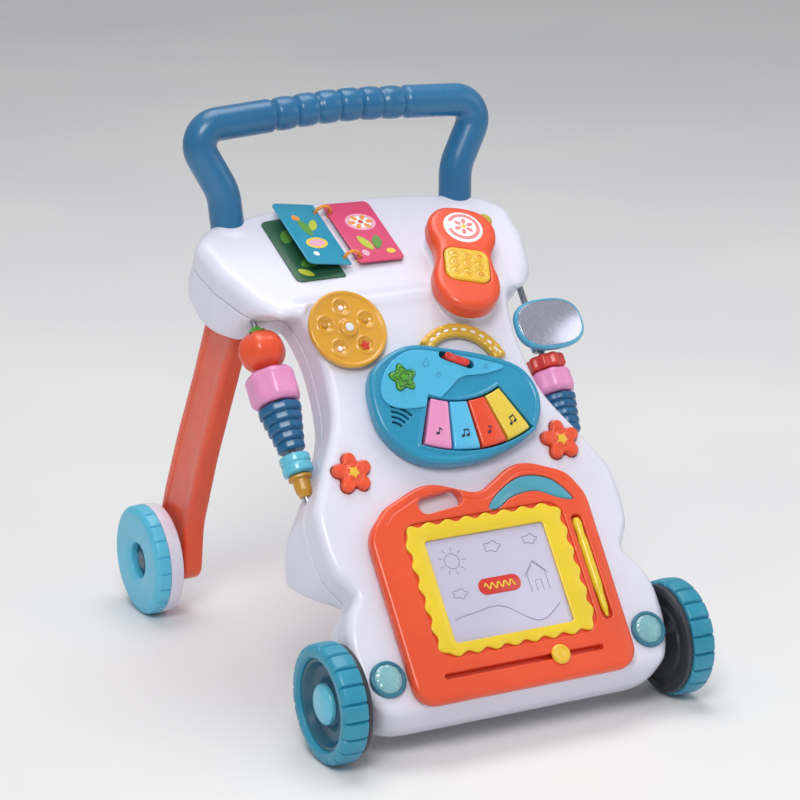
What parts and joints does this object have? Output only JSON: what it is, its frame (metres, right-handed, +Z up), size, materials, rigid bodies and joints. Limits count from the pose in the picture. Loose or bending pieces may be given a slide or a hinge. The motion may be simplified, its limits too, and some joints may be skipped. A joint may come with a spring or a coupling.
{
  "type": "activity walker",
  "caption": "Push-along activity walker for a baby: sloping toy panel on wheels with a handle bar, drawing board, phone, book, piano and side rollers.",
  "frame": {"origin": "on the floor, in the middle of the wheelbase and of the width", "axes": "+Z up, -Y the way the walker rolls forward (its panel faces -Y and up), +X to the right seen from the front"},
  "size_m": [0.37, 0.522, 0.512],
  "materials": {
    "panel_white": "moulded, satin gloss",
    "handle_blue": "blow-moulded, satin gloss",
    "orange_red": "moulded, satin gloss",
    "steel": "plain drawn rod",
    "wheel_teal": "moulded, satin gloss",
    "rim_teal": "moulded, satin gloss",
    "charcoal": "moulded, matt",
    "cap_cyan": "moulded, glossy",
    "wheel_cyan": "moulded, satin gloss",
    "wheel_white": "moulded, matt",
    "lens": "clear tinted, glossy",
    "lens_ring": "moulded, satin gloss",
    "disc_amber": "translucent moulding",
    "piano_teal": "moulded, satin gloss",
    "wave_cyan": "moulded, satin gloss",
    "key_pink": "moulded, glossy",
    "key_cyan": "moulded, glossy",
    "key_red": "moulded, glossy",
    "key_yellow": "moulded, glossy",
    "star_green": "moulded, glossy",
    "slider_red": "moulded, glossy",
    "arch_yellow": "translucent moulding",
    "board_green": "circuit laminate",
    "dark_part": "moulded, matt",
    "cell": "wrapped cell",
    "bezel_yellow": "moulded, satin gloss",
    "screen_lilac": "smooth sheet",
    "window_cyan": "clear tinted, glossy",
    "keypad_yellow": "moulded, glossy",
    "dial_pink": "moulded, glossy",
    "page_green": "printed sheet",
    "page_teal": "printed sheet",
    "page_pink": "printed sheet",
    "ring_orange": "moulded, glossy",
    "roller_pink": "moulded, satin gloss",
    "cone_blue": "moulded, satin gloss",
    "tip_ochre": "moulded, satin gloss",
    "mirror_blue": "moulded, satin gloss",
    "mirror": "plastic mirror sheet"
  },
  "bodies": {
    "panel": {"left_leg": "orange_red", "right_leg": "orange_red", "handle": "handle_blue", "panel_front_shell": "panel_white", "panel_back_cover": "panel_white", "wheel_axles": "steel", "headlight_rings": "lens_ring", "headlight_lenses": "lens", "piano_case": "piano_teal", "piano_wave_panel": "wave_cyan", "piano_arch_handle": "arch_yellow", "piano_circuit_board": "board_green", "speaker": "dark_part", "battery_box": "dark_part", "batteries": "cell", "book_page_left": "page_green", "book_rings": "ring_orange", "side_rods": "steel", "roller_tip_left": "tip_ochre"},
    "front_wheel_left": {"front_tyre_left": "wheel_teal", "front_rim_left": "rim_teal", "front_inner_disc_left": "charcoal", "front_hub_cap_left": "cap_cyan"},
    "rear_wheel_left": {"rear_wheel_inner_left": "wheel_white", "rear_wheel_outer_left": "wheel_cyan"},
    "front_wheel_right": {"front_tyre_right": "wheel_teal", "front_rim_right": "rim_teal", "front_inner_disc_right": "charcoal", "front_hub_cap_right": "cap_cyan"},
    "rear_wheel_right": {"rear_wheel_inner_right": "wheel_white", "rear_wheel_outer_right": "wheel_cyan"},
    "flower_button_left": {"flower_button_left": "orange_red"},
    "flower_button_right": {"flower_button_right": "orange_red"},
    "spinner_disc": {"spinner_disc": "disc_amber"},
    "piano_key_1": {"piano_key_1": "key_pink"},
    "piano_key_2": {"piano_key_2": "key_cyan"},
    "piano_key_3": {"piano_key_3": "key_red"},
    "piano_key_4": {"piano_key_4": "key_yellow"},
    "star_button": {"star_button": "star_green"},
    "mode_slider": {"mode_slider": "slider_red"},
    "drawing_board": {"board_frame": "orange_red", "board_bezel": "bezel_yellow", "board_screen": "screen_lilac", "board_window": "window_cyan"},
    "eraser_slider": {"eraser_slider": "bezel_yellow"},
    "magnetic_pen": {"magnetic_pen": "bezel_yellow"},
    "phone": {"phone_shell": "orange_red", "phone_dial": "dial_pink"},
    "phone_keypad": {"phone_keypad": "keypad_yellow"},
    "book_page_middle": {"book_page_middle": "page_teal"},
    "book_page_right": {"book_page_right": "page_pink"},
    "roller_tomato": {"roller_tomato": "orange_red"},
    "roller_pink_left": {"roller_pink_left": "roller_pink"},
    "roller_cone_left": {"roller_cone_left": "cone_blue"},
    "roller_ring_left": {"roller_ring_left": "wheel_cyan"},
    "roller_scalloped": {"roller_scalloped": "slider_red"},
    "roller_pink_right": {"roller_pink_right": "roller_pink"},
    "roller_cone_right": {"roller_cone_right": "cone_blue"},
    "mirror": {"mirror_frame": "mirror_blue", "mirror_glass": "mirror"}
  },
  "joints": [
    {"name": "front_wheel_left_spin", "type": "hinge", "parent": "panel", "child": "front_wheel_left", "pos_m": [-0.171, -0.208, 0.053], "axis": [1, 0, 0], "continuous": true},
    {"name": "rear_wheel_left_spin", "type": "hinge", "parent": "panel", "child": "rear_wheel_left", "pos_m": [-0.157, 0.208, 0.053], "axis": [1, 0, 0], "continuous": true},
    {"name": "front_wheel_right_spin", "type": "hinge", "parent": "panel", "child": "front_wheel_right", "pos_m": [0.171, -0.208, 0.053], "axis": [1, 0, 0], "continuous": true},
    {"name": "rear_wheel_right_spin", "type": "hinge", "parent": "panel", "child": "rear_wheel_right", "pos_m": [0.157, 0.208, 0.053], "axis": [1, 0, 0], "continuous": true},
    {"name": "flower_button_left_press", "type": "slide", "parent": "panel", "child": "flower_button_left", "axis": [0, 0.7923, -0.6101], "range_m": [0, 0.0025], "stiffness_N_per_m": 400},
    {"name": "flower_button_right_press", "type": "slide", "parent": "panel", "child": "flower_button_right", "axis": [0, 0.7923, -0.6101], "range_m": [0, 0.0025], "stiffness_N_per_m": 400},
    {"name": "disc_spin", "type": "hinge", "parent": "panel", "child": "spinner_disc", "pos_m": [-0.069, -0.04048, 0.32891], "axis": [0, -0.7923, 0.6101], "continuous": true},
    {"name": "piano_key_1_press", "type": "slide", "parent": "panel", "child": "piano_key_1", "axis": [0, 0.7923, -0.6101], "range_m": [0, 0.0025], "stiffness_N_per_m": 400},
    {"name": "piano_key_2_press", "type": "slide", "parent": "panel", "child": "piano_key_2", "axis": [0, 0.7923, -0.6101], "range_m": [0, 0.0025], "stiffness_N_per_m": 400},
    {"name": "piano_key_3_press", "type": "slide", "parent": "panel", "child": "piano_key_3", "axis": [0, 0.7923, -0.6101], "range_m": [0, 0.0025], "stiffness_N_per_m": 400},
    {"name": "piano_key_4_press", "type": "slide", "parent": "panel", "child": "piano_key_4", "axis": [0, 0.7923, -0.6101], "range_m": [0, 0.0025], "stiffness_N_per_m": 400},
    {"name": "star_button_press", "type": "slide", "parent": "panel", "child": "star_button", "axis": [0, 0.7923, -0.6101], "range_m": [0, 0.002], "stiffness_N_per_m": 400},
    {"name": "mode_slider_slide", "type": "slide", "parent": "panel", "child": "mode_slider", "axis": [0.8793, -0.2906, -0.3774], "range_m": [-0.004, 0.004]},
    {"name": "board_lift", "type": "slide", "parent": "panel", "child": "drawing_board", "axis": [0, -0.7923, 0.6101], "range_m": [0, 0.06]},
    {"name": "eraser_slide", "type": "slide", "parent": "drawing_board", "child": "eraser_slider", "axis": [1, 0, 0], "range_m": [-0.105, 0.037]},
    {"name": "pen_lift", "type": "slide", "parent": "drawing_board", "child": "magnetic_pen", "axis": [0, -0.7923, 0.6101], "range_m": [0, 0.05]},
    {"name": "phone_lift", "type": "slide", "parent": "panel", "child": "phone", "axis": [0, -0.5592, 0.829], "range_m": [0, 0.06]},
    {"name": "phone_keypad_press", "type": "slide", "parent": "phone", "child": "phone_keypad", "axis": [0, 0.5592, -0.829], "range_m": [0, 0.0015], "stiffness_N_per_m": 400},
    {"name": "book_middle_turn", "type": "hinge", "parent": "panel", "child": "book_page_middle", "pos_m": [-0.03, 0.05357, 0.38781], "axis": [0, 0.8973, 0.4415], "range_deg": [0, 150]},
    {"name": "book_right_turn", "type": "hinge", "parent": "panel", "child": "book_page_right", "pos_m": [-0.03, 0.05357, 0.38781], "axis": [0, -0.8973, -0.4415], "range_deg": [0, 150]},
    {"name": "roller_tomato_spin", "type": "hinge", "parent": "panel", "child": "roller_tomato", "pos_m": [-0.1365, -0.00573, 0.30846], "axis": [0, 0.6101, 0.7923], "continuous": true},
    {"name": "roller_pink_left_spin", "type": "hinge", "parent": "panel", "child": "roller_pink_left", "pos_m": [-0.1365, -0.0277, 0.27994], "axis": [0, 0.6101, 0.7923], "continuous": true},
    {"name": "roller_cone_left_spin", "type": "hinge", "parent": "panel", "child": "roller_cone_left", "pos_m": [-0.1365, -0.0515, 0.24904], "axis": [0, 0.6101, 0.7923], "continuous": true},
    {"name": "roller_ring_left_spin", "type": "hinge", "parent": "panel", "child": "roller_ring_left", "pos_m": [-0.1365, -0.07285, 0.22131], "axis": [0, 0.6101, 0.7923], "continuous": true},
    {"name": "roller_scalloped_spin", "type": "hinge", "parent": "panel", "child": "roller_scalloped", "pos_m": [0.1365, -0.03563, 0.26964], "axis": [0, 0.6101, 0.7923], "continuous": true},
    {"name": "roller_pink_right_spin", "type": "hinge", "parent": "panel", "child": "roller_pink_right", "pos_m": [0.1365, -0.04906, 0.25221], "axis": [0, 0.6101, 0.7923], "continuous": true},
    {"name": "roller_cone_right_spin", "type": "hinge", "parent": "panel", "child": "roller_cone_right", "pos_m": [0.1365, -0.06858, 0.22686], "axis": [0, 0.6101, 0.7923], "continuous": true},
    {"name": "mirror_swivel", "type": "hinge", "parent": "panel", "child": "mirror", "pos_m": [0.1365, -0.01733, 0.29341], "axis": [0, 0.6101, 0.7923], "range_deg": [0, 70]}
  ]
}
